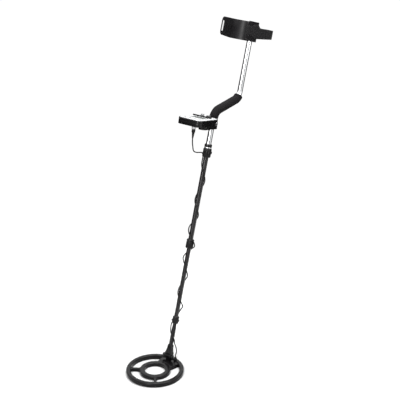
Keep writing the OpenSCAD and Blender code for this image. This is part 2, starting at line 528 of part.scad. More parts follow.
low_pts = concat(helix(1912, 1970, 156, 124, 17.6, 16.5, 5), helix(1970, 2016, 124, 100, 16.5, 10.8, 4), helix(2016, 2196, 100, 57, 10.8, 10.6, 12), curve([[8.6, 6.2, 57], [11, 7.8, 49], [15, 9.8, 42], [20, 12, 31], [22.8, 12.4, 19], [23, 9.6, 8.6], [23, 10.7, 2.6]], 3), [[23, 10.8, 2.4], [23, 12.7, -3.6]]);
module cable_upper() color([0.05, 0.05, 0.05]) stem_frame() sweep(upper_pts, cab_r, 8);
module cable_middle() color([0.05, 0.05, 0.05]) stem_frame() sweep(mid_pts, cab_r, 8);
module cable_lower() color([0.05, 0.05, 0.05]) stem_frame() sweep(low_pts, cab_r, 8);

s_rod();
foam_grip();
rod_cap();
arm_cup();
cup_saddle();
cup_bolts();
cup_nuts();
strap();
housing_top();
housing_base();
face_panel();
face_rail();
display_window();
display_module();
circuit_board();
board_parts();
pots();
speaker();
batteries();
headphone_jack();
jack_nut();
coil_socket();
housing_screws();
clamp_bolt();
plug();
strain_relief();
cable_upper();
lock1_body();
lock1_band();
lock1_collet();
stem_a();
lock2_body();
lock2_collet();
lock1_nut();
lock2_nut();
knob_power();
knob_sens();
button_1();
button_2();
button_3();
button_4();
battery_door();
coupling_ring();
stem_b();
lock3_body();
lock3_collet();
cable_middle();
lock3_nut();
stem_c();
cable_lower();
coil_shell();
coil_cover();
winding_outer();
winding_inner();
tilt_bolt();
washers();
cable_gland();
wing_nut();
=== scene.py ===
import json
import math
import random

import bmesh
import bpy
from mathutils import Matrix, Vector

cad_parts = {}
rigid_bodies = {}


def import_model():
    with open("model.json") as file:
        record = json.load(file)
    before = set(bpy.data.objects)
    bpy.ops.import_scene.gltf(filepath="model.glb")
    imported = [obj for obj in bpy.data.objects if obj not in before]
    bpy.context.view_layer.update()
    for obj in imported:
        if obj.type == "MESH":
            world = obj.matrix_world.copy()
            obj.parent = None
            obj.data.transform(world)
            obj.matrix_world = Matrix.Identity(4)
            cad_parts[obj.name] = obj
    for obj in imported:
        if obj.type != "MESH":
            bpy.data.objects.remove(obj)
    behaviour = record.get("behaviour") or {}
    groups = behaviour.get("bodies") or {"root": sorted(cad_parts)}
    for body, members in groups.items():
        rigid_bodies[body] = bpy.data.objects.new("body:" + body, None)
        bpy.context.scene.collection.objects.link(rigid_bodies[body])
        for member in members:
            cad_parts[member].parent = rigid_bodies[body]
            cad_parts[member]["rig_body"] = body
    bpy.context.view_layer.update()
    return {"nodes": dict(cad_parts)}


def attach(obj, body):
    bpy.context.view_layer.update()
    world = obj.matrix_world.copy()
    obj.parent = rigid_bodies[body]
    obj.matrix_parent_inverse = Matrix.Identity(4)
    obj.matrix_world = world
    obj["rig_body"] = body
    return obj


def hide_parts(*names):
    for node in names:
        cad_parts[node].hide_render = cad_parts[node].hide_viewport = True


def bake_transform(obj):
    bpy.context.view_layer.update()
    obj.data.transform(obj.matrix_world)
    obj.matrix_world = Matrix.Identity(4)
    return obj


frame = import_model()
nodes = frame["nodes"]

# ------------------------------------------------------------------ frames
# Everything below is drawn in millimetres in one of the object's own frames
# and placed in the row frame (metres) by these matrices.
LEAN, TILT = math.radians(18), math.radians(6)
BEND_S, BEND_A, BEND_R, GRIP_L = 908.0, math.radians(67), 38.0, 105.0
OFF_U = 2 * BEND_R * (1 - math.cos(BEND_A)) + GRIP_L * math.sin(BEND_A)
OFF_S = BEND_S + 2 * BEND_R * math.sin(BEND_A) + GRIP_L * math.cos(BEND_A)
GRIP_U, GRIP_S = OFF_U / 2, (BEND_S + OFF_S) / 2
PY, PZ = 84.0, 30.0
GY = PY + GRIP_U * math.cos(LEAN) + GRIP_S * math.sin(LEAN)
GZ = PZ - GRIP_U * math.sin(LEAN) + GRIP_S * math.cos(LEAN)
MM = Matrix.Scale(0.001, 4)
M_COIL = MM @ Matrix.Translation((0, -GY, -GZ))
M_STEM = M_COIL @ Matrix.Translation((0, PY, PZ)) @ Matrix.Rotation(-LEAN, 4, "X")
M_BOX = M_STEM @ Matrix.Translation((0, 0, 916)) @ Matrix.Rotation(TILT, 4, "X")
CUP_WALL, CUP_W, CUP_D, CUP_L, CUP_S = 3.4, 108.0, 100.0, 72.0, 1206.0
M_CUP = M_STEM @ Matrix.Translation((0, OFF_U - 16 - CUP_WALL, CUP_S))
M_PIVOT = M_COIL @ Matrix.Translation((0, PY, PZ))
FLOOR_Z = -GZ / 1000

BOX_W, BOX_D, BOX_H, BOX_R, BOX_GAP = 102.0, 123.0, 24.0, 18.0, 34.0
FY0, FY1 = -BOX_GAP - BOX_D, -BOX_GAP
FC = (FY0 + FY1) / 2
KNOB_X, KNOB_Y = (-18.0, 10.0), FY1 - 13
BTN_X, BTN_Y = (-33.0, -11.0, 11.0, 33.0), FY0 + 24
PLUG_X, PLUG_Y = 18.0, FY0 + 14


# ------------------------------------------------------------------ materials
def node_tree(name):
    m = bpy.data.materials.new(name)
    m.use_nodes = True
    t = m.node_tree
    t.nodes.clear()
    out = t.nodes.new("ShaderNodeOutputMaterial")
    b = t.nodes.new("ShaderNodeBsdfPrincipled")
    t.links.new(b.outputs[0], out.inputs[0])
    c = t.nodes.new("ShaderNodeTexCoord")
    return m, t, b, c


def noise(t, c, scale, detail=4.0, rough=0.55, stretch=None):
    n = t.nodes.new("ShaderNodeTexNoise")
    n.inputs["Scale"].default_value = scale
    n.inputs["Detail"].default_value = detail
    n.inputs["Roughness"].default_value = rough
    if stretch:
        mp = t.nodes.new("ShaderNodeMapping")
        mp.inputs["Scale"].default_value = stretch
        t.links.new(c.outputs["Object"], mp.inputs["Vector"])
        t.links.new(mp.outputs[0], n.inputs["Vector"])
    else:
        t.links.new(c.outputs["Object"], n.inputs["Vector"])
    return n.outputs["Fac"]


def span(t, fac, lo, hi, f0=0.3, f1=0.7):
    r = t.nodes.new("ShaderNodeMapRange")
    r.inputs["From Min"].default_value = f0
    r.inputs["From Max"].default_value = f1
    r.inputs["To Min"].default_value = lo
    r.inputs["To Max"].default_value = hi
    t.links.new(fac, r.inputs["Value"])
    return r.outputs[0]


def mix(t, fac, a, b, f0=0.3, f1=0.7):
    r = t.nodes.new("ShaderNodeValToRGB")
    r.color_ramp.elements[0].position = f0
    r.color_ramp.elements[0].color = (*a, 1)
    r.color_ramp.elements[1].position = f1
    r.color_ramp.elements[1].color = (*b, 1)
    t.links.new(fac, r.inputs[0])
    return r.outputs[0]


def bump(t, b, height, strength, distance=0.0005, chain=None):
    n = t.nodes.new("ShaderNodeBump")
    n.inputs["Strength"].default_value = strength
    n.inputs["Distance"].default_value = distance
    t.links.new(height, n.inputs["Height"])
    if chain is not None:
        t.links.new(chain, n.inputs["Normal"])
    t.links.new(n.outputs[0], b.inputs["Normal"])
    return n.outputs[0]


def plastic(name, dark, light, r0, r1, grain=1400.0, depth=0.12, coarse=18.0, spec=0.5, coat=0.0):
    """Moulded plastic: fine texture, faint handling marks that change the sheen."""
    m, t, b, c = node_tree(name)
    big = noise(t, c, coarse, 5)
    fine = noise(t, c, grain, 2)
    t.links.new(mix(t, big, dark, light), b.inputs["Base Color"])
    t.links.new(span(t, big, r0, r1), b.inputs["Roughness"])
    b.inputs["Specular IOR Level"].default_value = spec
    b.inputs["Coat Weight"].default_value = coat
    bump(t, b, fine, depth, 0.0002)
    return m


def metal(name, colour, tint, r0, r1, grain=300.0, depth=0.03, stretch=None):
    m, t, b, c = node_tree(name)
    b.inputs["Metallic"].default_value = 1.0
    big = noise(t, c, 22.0, 6)
    fine = noise(t, c, grain, 3, 0.6, stretch)
    t.links.new(mix(t, big, tint, colour), b.inputs["Base Color"])
    t.links.new(span(t, fine, r0, r1), b.inputs["Roughness"])
    bump(t, b, fine, depth, 0.0001)
    return m


def foam_material(name):
    m, t, b, c = node_tree(name)
    v = t.nodes.new("ShaderNodeTexVoronoi")
    v.inputs["Scale"].default_value = 900.0
    t.links.new(c.outputs["Object"], v.inputs["Vector"])
    big = noise(t, c, 60.0, 6)
    t.links.new(mix(t, big, (0.0055, 0.005, 0.0055), (0.012, 0.011, 0.012)), b.inputs["Base Color"])
    t.links.new(span(t, big, 0.78, 0.95), b.inputs["Roughness"])
    b.inputs["Specular IOR Level"].default_value = 0.12
    first = bump(t, b, v.outputs["Distance"], 0.5, 0.0006)
    bump(t, b, big, 0.35, 0.002, first)
    return m


def weave_material(name):
    m, t, b, c = node_tree(name)
    w = t.nodes.new("ShaderNodeTexWave")
    w.wave_type, w.bands_direction = "BANDS", "Z"
    w.inputs["Scale"].default_value = 260.0
    w.inputs["Distortion"].default_value = 0.6
    t.links.new(c.outputs["Object"], w.inputs["Vector"])
    x = t.nodes.new("ShaderNodeTexWave")
    x.wave_type, x.bands_direction = "BANDS", "Y"
    x.inputs["Scale"].default_value = 200.0
    x.inputs["Distortion"].default_value = 0.5
    t.links.new(c.outputs["Object"], x.inputs["Vector"])
    mul = t.nodes.new("ShaderNodeMath")
    mul.operation = "MULTIPLY"
    t.links.new(w.outputs["Fac"], mul.inputs[0])
    t.links.new(x.outputs["Fac"], mul.inputs[1])
    t.links.new(mix(t, mul.outputs[0], (0.005, 0.0048, 0.0052), (0.026, 0.025, 0.027), 0.0, 1.0), b.inputs["Base Color"])
    t.links.new(span(t, noise(t, c, 80.0), 0.55, 0.8), b.inputs["Roughness"])
    b.inputs["Specular IOR Level"].default_value = 0.2
    bump(t, b, mul.outputs[0], 0.6, 0.0006)
    return m


def glass_material(name):
    m, t, b, c = node_tree(name)
    big = noise(t, c, 30.0)
    t.links.new(mix(t, big, (0.30, 0.33, 0.31), (0.36, 0.39, 0.37)), b.inputs["Base Color"])
    t.links.new(span(t, big, 0.06, 0.12), b.inputs["Roughness"])
    b.inputs["Coat Weight"].default_value = 0.6
    bump(t, b, noise(t, c, 8.0), 0.02, 0.0005)
    return m


M = {
    "cup": plastic("CupPlastic", (0.0055, 0.005, 0.0058), (0.009, 0.0082, 0.0095), 0.40, 0.52, 900, 0.10, spec=0.30),
    "case": plastic("BoxPlastic", (0.0045, 0.0042, 0.0046), (0.008, 0.0075, 0.008), 0.17, 0.26, 1500, 0.08, spec=0.28),
    "coil": plastic("CoilPlastic", (0.0045, 0.0043, 0.0046), (0.0065, 0.006, 0.0067), 0.15, 0.22, 1200, 0.08, spec=0.14),
    "lock": plastic("LockPlastic", (0.0055, 0.005, 0.0055), (0.0095, 0.009, 0.0095), 0.24, 0.36, 1600, 0.12, spec=0.22),
    "stem": plastic("StemPaint", (0.006, 0.0055, 0.006), (0.0095, 0.0083, 0.0095), 0.20, 0.28, 2200, 0.08, 40, spec=0.52),
    "cable": plastic("CableRubber", (0.004, 0.004, 0.004), (0.007, 0.007, 0.007), 0.42, 0.55, 2600, 0.15, 60, spec=0.25),
    "rubber": plastic("Rubber", (0.008, 0.008, 0.008), (0.014, 0.014, 0.014), 0.6, 0.8, 1800, 0.2, spec=0.2),
    "grey": plastic("GreyPlastic", (0.22, 0.225, 0.23), (0.30, 0.305, 0.31), 0.32, 0.42, 1500, 0.08),
    "black": plastic("BlackSatin", (0.0045, 0.0045, 0.005), (0.008, 0.008, 0.0085), 0.26, 0.38, 1400, 0.1, spec=0.28),
    "face": plastic("FacePaint", (0.74, 0.75, 0.76), (0.82, 0.83, 0.84), 0.26, 0.36, 3000, 0.06, 12),
    "print": plastic("PrintInk", (0.02, 0.02, 0.022), (0.04, 0.04, 0.045), 0.4, 0.5, 2500, 0.05),
    "board": plastic("BoardMask", (0.010, 0.07, 0.022), (0.014, 0.10, 0.032), 0.3, 0.4, 1000, 0.1),
    "cell": plastic("CellSleeve", (0.03, 0.06, 0.14), (0.05, 0.09, 0.2), 0.25, 0.4, 1500, 0.05),
    "chrome": metal("ChromeTube", (0.80, 0.81, 0.82), (0.72, 0.73, 0.745), 0.035, 0.075, 500, 0.01),
    "steel": metal("Steel", (0.62, 0.62, 0.63), (0.52, 0.52, 0.53), 0.2, 0.34, 900, 0.05),
    "ring": metal("RingNickel", (0.78, 0.78, 0.79), (0.68, 0.68, 0.69), 0.14, 0.26, 900, 0.04),
    "copper": metal("Copper", (0.62, 0.28, 0.12), (0.5, 0.2, 0.08), 0.25, 0.4, 1200, 0.2),
    "foam": foam_material("Foam"),
    "web": weave_material("Webbing"),
    "glass": glass_material("DisplayGlass"),
}


# ------------------------------------------------------------------ mesh tools
def place(o, body):
    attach(o, body)
    return o


def obj(name, verts, faces, matrix, mat, body="frame", smooth=35.0, bevel=0.0, seg=2, slots=None):
    """A mesh of millimetre verts in a frame, shaded smooth below an angle, its hard edges bevelled."""
    me = bpy.data.meshes.new(name)
    me.from_pydata([tuple(matrix @ Vector(v)) for v in verts], [], faces)
    me.validate()
    o = bpy.data.objects.new(name, me)
    bpy.context.scene.collection.objects.link(o)
    me.materials.append(M[mat])
    bm = bmesh.new()
    bm.from_mesh(me)
    bmesh.ops.recalc_face_normals(bm, faces=bm.faces)
    bm.to_mesh(me)
    bm.free()
    finish_shading(o, smooth, bevel, seg)
    if body:
        place(o, body)
    return o


def finish_shading(o, smooth=35.0, bevel=0.0, seg=2, angle=30.0):
    if bevel > 0:
        b = o.modifiers.new("Edges", "BEVEL")
        b.width = bevel / 1000
        b.segments = seg
        b.limit_method = "ANGLE"
        b.angle_limit = math.radians(angle)
        b.harden_normals = False
        apply_modifiers(o)
    me = o.data
    me.polygons.foreach_set("use_smooth", [True] * len(me.polygons))
    me.set_sharp_from_angle(angle=math.radians(smooth))


def apply_modifiers(o):
    dg = bpy.context.evaluated_depsgraph_get()
    bpy.context.view_layer.update()
    new = bpy.data.meshes.new_from_object(o.evaluated_get(dg), depsgraph=dg)
    old = o.data
    o.modifiers.clear()
    o.data = new
    new.name = old.name


def from_cad(node, mat, bevel=0.4, seg=2, smooth=35.0, merge=0.00001, name=None):
    """A copy of a CAD node with softened edges and its own finish; it stands for the node."""
    src = nodes[node]
    me = src.data.copy()
    o = bpy.data.objects.new(name or ("V_" + node), me)
    bpy.context.scene.collection.objects.link(o)
    me.materials.clear()
    me.materials.append(M[mat])
    bm = bmesh.new()
    bm.from_mesh(me)
    bmesh.ops.remove_doubles(bm, verts=bm.verts, dist=merge)
    bmesh.ops.dissolve_limit(bm, angle_limit=math.radians(0.5), verts=bm.verts, edges=bm.edges)
    bmesh.ops.recalc_face_normals(bm, faces=bm.faces)
    bm.to_mesh(me)
    bm.free()
    for p in me.polygons:
        p.material_index = 0
    finish_shading(o, smooth, bevel, seg)
    place(o, src["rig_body"])
    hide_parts(node)
    return o


def sweep(points, radius, sides, closed_ends=True, radii=None, up=Vector((0.3, 0.9, 0.31))):
    """Rings carried along points with no twist; returns verts, faces."""
    pts = [Vector(p) for p in points]
    n = len(pts)
    verts, faces = [], []
    q = up
    for i in range(n):
        t = (pts[min(i + 1, n - 1)] - pts[max(i - 1, 0)]).normalized()
        q = (q - t * q.dot(t)).normalized()
        w = t.cross(q)
        r = radii[i] if radii else radius
        for k in range(sides):
            a = 2 * math.pi * k / sides
            verts.append(pts[i] + q * (r * math.cos(a)) + w * (r * math.sin(a)))
    for i in range(n - 1):
        for k in range(sides):
            a, b = i * sides + k, i * sides + (k + 1) % sides
            faces.append((a, b, b + sides, a + sides))
    if closed_ends:
        faces.append(tuple(range(sides))[::-1])
        faces.append(tuple((n - 1) * sides + k for k in range(sides)))
    return verts, faces


def lathe(profile, sides=96, caps=False):
    """Profile of (radius, z) turned about Z. A closed profile unless caps."""
    m = len(profile)
    verts = [(r * math.cos(2 * math.pi * k / sides), r * math.sin(2 * math.pi * k / sides), z) for k in range(sides) for r, z in profile]
    faces = []
    span_m = m - 1 if caps else m
    for k in range(sides):
        for i in range(span_m):
            a, b = k * m + i, k * m + (i + 1) % m
            c, d = ((k + 1) % sides) * m + (i + 1) % m, ((k + 1) % sides) * m + i
            faces.append((a, b, c, d))
    if caps:
        faces.append(tuple(k * m for k in range(sides))[::-1])
        faces.append(tuple(k * m + m - 1 for k in range(sides)))
    return verts, faces


def outline(w, d, r, n=8):
    pts = []
    for sx, sy, a0 in ((1, 1, 0), (-1, 1, 90), (-1, -1, 180), (1, -1, 270)):
        for i in range(n + 1):
            a = math.radians(a0 + 90 * i / n)
            pts.append((sx * (w / 2 - r) + r * math.cos(a), sy * (d / 2 - r) + r * math.sin(a)))
    return pts


def loft(w, d, r, levels, n=8, cx=0.0, cy=0.0, close=False):
    """Rounded rectangles at (z, inset) levels, capped at both ends, or joined end to start if close."""
    verts, faces = [], []
    k = 4 * (n + 1)
    for z, inset in levels:
        rr = max(0.2, r - inset)
        verts += [(cx + x, cy + y, z) for x, y in outline(w - 2 * inset, d - 2 * inset, rr, n)]
    m = len(levels)
    for i in range(m if close else m - 1):
        for j in range(k):
            a, b = i * k + j, i * k + (j + 1) % k
            c, e = ((i + 1) % m) * k + (j + 1) % k, ((i + 1) % m) * k + j
            faces.append((a, b, c, e))
    if not close:
        faces.append(tuple(range(k))[::-1])
        faces.append(tuple((m - 1) * k + j for j in range(k)))
    return verts, faces


def prism(points, z0, z1):
    n = len(points)
    verts = [(x, y, z0) for x, y in points] + [(x, y, z1) for x, y in points]
    faces = [tuple(range(n))[::-1], tuple(range(n, 2 * n))]
    faces += [(i, (i + 1) % n, n + (i + 1) % n, n + i) for i in range(n)]
    return verts, faces


def boxv(x0, y0, z0, x1, y1, z1):
    return prism([(x0, y0), (x1, y0), (x1, y1), (x0, y1)], z0, z1)


def merge(*parts):
    verts, faces = [], []
    for v, f in parts:
        k = len(verts)
        verts += list(v)
        faces += [tuple(i + k for i in q) for q in f]
    return verts, faces


def moved(part, m):
    return [tuple(m @ Vector(v)) for v in part[0]], part[1]


def cut(o, verts, faces, matrix):
    """Cuts a closed tool out of o."""
    me = bpy.data.meshes.new("cutter")
    me.from_pydata([tuple(matrix @ Vector(v)) for v in verts], [], faces)
    bm = bmesh.new()
    bm.from_mesh(me)
    bmesh.ops.recalc_face_normals(bm, faces=bm.faces)
    bm.to_mesh(me)
    bm.free()
    c = bpy.data.objects.new("cutter", me)
    bpy.context.scene.collection.objects.link(c)
    md = o.modifiers.new("Cut", "BOOLEAN")
    md.operation, md.solver, md.object = "DIFFERENCE", "EXACT", c
    apply_modifiers(o)
    bpy.data.objects.remove(c)
    return o


def arc_pts(cx, cy, r, a0, a1, n):
    return [(cx + r * math.cos(math.radians(a0 + (a1 - a0) * i / n)), cy + r * math.sin(math.radians(a0 + (a1 - a0) * i / n))) for i in range(n + 1)]


# ------------------------------------------------------------------ rod and grip
def rod_axis(s0, s1, step=6.0, arc_n=28):
    """Points along the rod's axis in the stem frame between stem heights s0 and s1."""
    pts = []
    n = max(1, int((BEND_S - s0) / step))
    pts += [(0, 0, s0 + (BEND_S - s0) * i / n) for i in range(n)]
    for i in range(arc_n):
        a = BEND_A * i / arc_n
        pts.append((0, BEND_R * (1 - math.cos(a)), BEND_S + BEND_R * math.sin(a)))
    u0, z0 = BEND_R * (1 - math.cos(BEND_A)), BEND_S + BEND_R * math.sin(BEND_A)
    n = int(GRIP_L / step)
    for i in range(n):
        d = GRIP_L * i / n
        pts.append((0, u0 + d * math.sin(BEND_A), z0 + d * math.cos(BEND_A)))
    for i in range(arc_n):
        a = BEND_A * (1 - i / arc_n)
        pts.append((0, OFF_U - BEND_R * (1 - math.cos(a)), OFF_S - BEND_R * math.sin(a)))
    n = max(1, int((s1 - OFF_S) / step))
    pts += [(0, OFF_U, OFF_S + (s1 - OFF_S) * i / n) for i in range(n + 1)]
    return pts


v, f = sweep(rod_axis(781, 1262), 10.0, 72)
rod = obj("V_s_rod", v, f, M_STEM, "chrome", smooth=40)
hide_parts("s_rod")

path = rod_axis(907, OFF_S + 6, 2.0, 40)
FOAM_A = math.radians(42)
u1, z1 = OFF_U - BEND_R * (1 - math.cos(BEND_A)), OFF_S - BEND_R * math.sin(BEND_A)
cut_at = [k for k, q in enumerate(path) if q[1] > u1 - 0.01][0]
path = path[:cut_at]
for i in range(19):
    a = BEND_A - FOAM_A * i / 18
    path.append((0, OFF_U - BEND_R * (1 - math.cos(a)), OFF_S - BEND_R * math.sin(a)))
random.seed(4)
radii = []
lengths = [0.0]
for i in range(len(path) - 1):
    lengths.append(lengths[-1] + (Vector(path[i + 1]) - Vector(path[i])).length)
for i, d in enumerate(lengths):
    e = min(d, lengths[-1] - d)
    r = 16.4 if e > 4 else 11.6 + 4.8 * math.sqrt(max(0.0, 1 - (1 - e / 4) ** 2))
    radii.append(r + 0.12 * math.sin(d * 0.21) * math.sin(d * 0.047 + 1))
fine_path, fine_radii = [], []
for i, d in enumerate(lengths):
    fine_path.append(path[i])
    fine_radii.append(radii[i])
    if i + 1 < len(path) and (d < 5 or lengths[-1] - d < 5.5):
        for k in range(1, 4):
            t = k / 4
            q = Vector(path[i]).lerp(Vector(path[i + 1]), t)
            dd = d + (lengths[i + 1] - d) * t
            e = min(dd, lengths[-1] - dd)
            fine_path.append(tuple(q))
            fine_radii.append(16.4 if e > 4 else 11.6 + 4.8 * math.sqrt(max(0.0, 1 - (1 - e / 4) ** 2)))
v, f = sweep(fine_path, 16.4, 72, radii=fine_radii)
grip = obj("V_foam_grip", v, f, M_STEM, "foam", smooth=60)
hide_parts("foam_grip")
from_cad("rod_cap", "case", 0.6, 3)

# ------------------------------------------------------------------ arm cup
def cup_profile(n_arc=26, n_side=26):
    """Inner line of the cup across the stem, wing tip to wing tip, as (x, v)."""
    r = 40.0
    w = CUP_W / 2
    pts = [(-w, -CUP_D + (CUP_D - r) * i / n_side) for i in range(n_side)]
    pts += arc_pts(-w + r, -r, r, 180, 90, n_arc)[:-1]
    pts += [(-w + r + (2 * w - 2 * r) * i / 6, 0) for i in range(6)]
    pts += arc_pts(w - r, -r, r, 90, 0, n_arc)
    pts += [(w, -r - (CUP_D - r) * i / n_side) for i in range(1, n_side + 1)]
    return pts


def cup_span(vv):
    """Lower and upper edge of the cup at depth v."""
    if vv > -30:
        lo = 0.0
    else:
        lo = 5.0 * (-30 - vv) / 60
    hi = CUP_L
    rc = 12.0
    e = vv + CUP_D
    if e < rc:
        k = rc - math.sqrt(max(0.0, rc * rc - (rc - e) ** 2))
        lo += k
        hi -= k
    return lo, hi


def build_cup():
    prof = cup_profile()
    n = len(prof)
    rows = 30
    verts, faces = [], []
    for side in (0, 1):
        for i, (x, y) in enumerate(prof):
            a = Vector(prof[max(i - 1, 0)])
            b = Vector(prof[min(i + 1, n - 1)])
            t = (b - a).normalized()
            nx, ny = -t.y, t.x
            if Vector((nx, ny)).dot(Vector((x, y + 40))) < 0:
                nx, ny = -nx, -ny
            off = CUP_WALL * side
            lo, hi = cup_span(y)
            for j in range(rows + 1):
                verts.append((x + nx * off, y + ny * off, lo + (hi - lo) * j / rows))
    k = rows + 1
    base = n * k
    for i in range(n - 1):
        for j in range(rows):
            a, b, c, d = i * k + j, i * k + j + 1, (i + 1) * k + j + 1, (i + 1) * k + j
            faces.append((a, b, c, d))
            faces.append((a + base, d + base, c + base, b + base))
    for i in range(n - 1):
        for j in (0, rows):
            a, d = i * k + j, (i + 1) * k + j
            faces.append((a, d, d + base, a + base) if j == 0 else (a, a + base, d + base, d))
    for i in (0, n - 1):
        for j in range(rows):
            a, b = i * k + j, i * k + j + 1
            faces.append((a, a + base, b + base, b) if i == 0 else (a, b, b + base, a + base))
    o = obj("V_arm_cup", verts, faces, M_CUP, "cup", body=None, smooth=180)
    for sx in (-1, 1):
        z = CUP_L / 2 + 2.5
        tool = loft(12.0, 38.0, 2.4, [(-12, 0), (12, 0)], 6)
        m = M_CUP @ Matrix.Translation((sx * (CUP_W / 2 + 1.7), -CUP_D + 9, z)) @ Matrix.Rotation(math.radians(90), 4, "Y") @ Matrix.Rotation(math.radians(90), 4, "Z")
        cut(o, tool[0], tool[1], m)
    finish_shading(o, 40, 1.1, 3, 40)
    place(o, "frame")
    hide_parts("arm_cup")
    return o


cup = build_cup()
from_cad("cup_saddle", "case", 0.8, 3)
from_cad("cup_bolts", "black", 0.5, 3)
from_cad("cup_nuts", "black", 0.6, 3)


# ------------------------------------------------------------------ strap
def band(line, width, thick, z0):
    """A flat band of the given thickness whose middle follows line in plan, raised from z0 by width."""
    n = len(line)
    verts, faces = [], []
    for i, p in enumerate(line):
        a, b = Vector(line[max(i - 1, 0)]), Vector(line[min(i + 1, n - 1)])
        t = (b - a).normalized()
        nrm = Vector((-t.y, t.x))
        for s in (-1, 1):
            q = Vector(p) + nrm * (s * thick / 2)
            for j in range(7):
                verts.append((q.x, q.y, z0 + width * j / 6))
    k = 14
    for i in range(n - 1):
        o = i * k
        for j in range(6):
            faces.append((o + j, o + j + 1, o + k + j + 1, o + k + j))
            faces.append((o + 7 + j, o + k + 7 + j, o + k + 7 + j + 1, o + 7 + j + 1))
        faces.append((o, o + k, o + k + 7, o + 7))
        faces.append((o + 6, o + 13, o + k + 13, o + k + 6))
    for o in (0, (n - 1) * k):
        for j in range(6):
            faces.append((o + j, o + 7 + j, o + 8 + j, o + j + 1))
    return verts, faces


def smooth_line(pts, step=6):
    out = []
    for i in range(len(pts) - 1):
        a, b, c, d = (Vector(pts[max(i - 1, 0)]), Vector(pts[i]), Vector(pts[i + 1]), Vector(pts[min(i + 2, len(pts) - 1)]))
        for j in range(step):
            t = j / step
            out.append(tuple(0.5 * ((2 * b) + (c - a) * t + (2 * a - 5 * b + 4 * c - d) * t * t + (3 * b - a - 3 * c + d) * t ** 3)))
    out.append(tuple(pts[-1]))
    return out


XW = CUP_W / 2
strap_line = smooth_line([
    (XW + CUP_WALL + 7.2, 61.2), (XW + CUP_WALL + 4.6, 34), (XW + CUP_WALL + 1.9, 4), (XW + CUP_WALL + 1.1, -30), (XW + CUP_WALL + 1.1, -70),
    (XW + CUP_WALL + 1.0, -86.5), (XW + CUP_WALL - 0.6, -90.6), (XW + 1.2, -91.0), (XW - 0.8, -92.2), (XW - 0.95, -95),
    (XW - 0.75, -100.4), (XW + 1.2, -101.0), (XW + 3.6, -100.9), (XW + CUP_WALL + 2.1, -98.4), (XW + CUP_WALL + 2.75, -92),
    (XW + CUP_WALL + 2.7, -70), (XW + CUP_WALL + 2.6, -30), (XW + CUP_WALL + 3.35, 0), (XW + CUP_WALL + 6.4, 34), (XW + CUP_WALL + 9.2, 61.6)], 5)
SIDE = [(-110, -15, 15), (-84, -15, 15), (-45, -26, 26), (-34, -27, 26), (-27, -26, 19), (-19, -25.5, 14.5), (0, -24, 14.5), (22, -22, 15.5), (63, -18, 15.5)]


def strap_span(vv):
    """Lower and upper edge of the strap, from its middle, at depth vv."""
    for (v0, a0, b0), (v1, a1, b1) in zip(SIDE, SIDE[1:]):
        if vv <= v1:
            t = max(0.0, (vv - v0) / (v1 - v0))
            return a0 + (a1 - a0) * t, b0 + (b1 - b0) * t
    return SIDE[-1][1], SIDE[-1][2]


v, f = band(strap_line, 1.0, 1.3, 0.0)
v = [(x, y, CUP_L / 2 + 2.5 + strap_span(y)[0] + (strap_span(y)[1] - strap_span(y)[0]) * z) for x, y, z in v]
strap = obj("V_strap", v, f, M_CUP, "web", smooth=50, bevel=0.25, seg=2)
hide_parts("strap")

# ------------------------------------------------------------------ control box
top = loft(BOX_W, BOX_D, BOX_R, [(-9.6, 0.35), (-9.2, 0.0), (-2.2, 0.0), (-1.2, 0.25), (-0.45, 0.85), (-0.1, 1.7), (0.0, 2.6), (0.0, 3.0), (-0.8, 3.05), (-0.8, 8.0), (-2.4, 8.0), (-2.4, 2.2), (-9.6, 2.2)], 10, 0, FC, close=True)
o = obj("V_housing_top", *top, M_BOX, "case", smooth=40)
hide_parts("housing_top")
base_part = from_cad("housing_base", "case", 0.9, 3)
panel = from_cad("face_panel", "face", 0.25, 2)
glass = from_cad("display_window", "glass", 0.15, 2)
from_cad("display_module", "black", 0.2)
from_cad("circuit_board", "board", 0.1)
from_cad("board_parts", "black", 0.15)
from_cad("pots", "steel", 0.2)
from_cad("speaker", "black", 0.2)
from_cad("batteries", "cell", 0.3)
from_cad("headphone_jack", "black", 0.3)
from_cad("jack_nut", "ring", 0.25)
from_cad("coil_socket", "steel", 0.25)
from_cad("housing_screws", "steel", 0.2)
from_cad("clamp_bolt", "black", 0.4)
rail = from_cad("face_rail", "black", 0.6, 3)
to_box = M_BOX.inverted()
for vert in rail.data.vertices:
    p = to_box @ (rail.matrix_world @ vert.co)
    vert.co = rail.matrix_world.inverted() @ (M_BOX @ Vector((p.x, p.y, p.z * 1.7 if p.z > 0 else p.z)))
from_cad("battery_door", "case", 0.3)


def knob(name, x, mat, rk, h, ribs):
    sides = ribs * 4
    top = 0.9 + h
    rings = [(rk - 0.35, 0.9), (rk, 1.4), (rk, top - 1.6), (rk - 0.35, top - 0.7), (rk - 1.2, top - 0.08), (rk - 2.8, top), (rk - 3.1, top - 0.3), (0.02, top - 0.3)]
    verts, faces = [], []
    for r, z in rings:
        for k in range(sides):
            a = 2 * math.pi * k / sides
            g = 0.28 if (k % 4 == 0 and 1.2 < z < top - 1.2 and r > rk - 0.5) else 0.0
            verts.append((x + (r - g) * math.cos(a), KNOB_Y + (r - g) * math.sin(a), z))
    for i in range(len(rings) - 1):
        for k in range(sides):
            a, b = i * sides + k, i * sides + (k + 1) % sides
            faces.append((a, b, b + sides, a + sides))
    faces.append(tuple(range(sides))[::-1])
    faces.append(tuple((len(rings) - 1) * sides + k for k in range(sides)))
    o = obj("V_" + name, verts, faces, M_BOX, mat, body=None, smooth=30)
    body = "power_knob" if name == "knob_power" else "sensitivity_knob"
    place(o, body)
    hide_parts(name)
    mark = boxv(x - 0.35, KNOB_Y + 1.5, top - 0.4, x + 0.35, KNOB_Y + rk - 1.4, top + 0.1)
    obj("V_" + name + "_mark", *mark, M_BOX, "face" if mat == "black" else "print", body=body, bevel=0.1)


